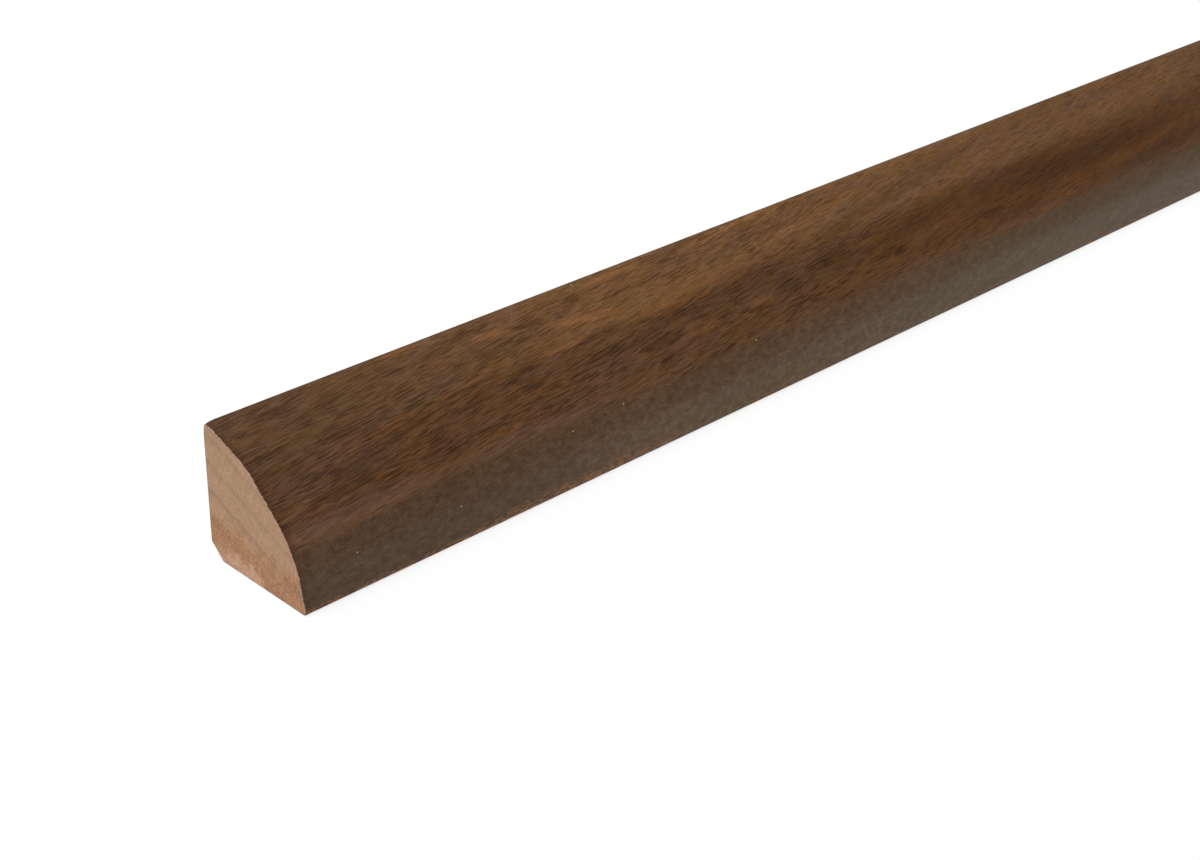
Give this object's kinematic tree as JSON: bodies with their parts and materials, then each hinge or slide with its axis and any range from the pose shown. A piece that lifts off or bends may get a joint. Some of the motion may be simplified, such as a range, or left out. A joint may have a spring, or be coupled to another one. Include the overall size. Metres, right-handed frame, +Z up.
{
  "type": "quarter round moulding",
  "caption": "Straight stick of quarter round hardwood trim with a softly faceted show face, a bevelled heel and square-cut ends, for the joint between floor and wall.",
  "frame": {"origin": "floor level under the middle of the stick", "axes": "+X along the stick, away from the end that the picture shows; +Y towards the wall, out of the flat back; +Z up. The show face looks to -Y and +Z."},
  "size_m": [1.9812, 0.019, 0.0191],
  "materials": {
    "walnut_finished_wood": "satin"
  },
  "bodies": {
    "root": {"quarter_round": "walnut_finished_wood"}
  },
  "joints": []
}
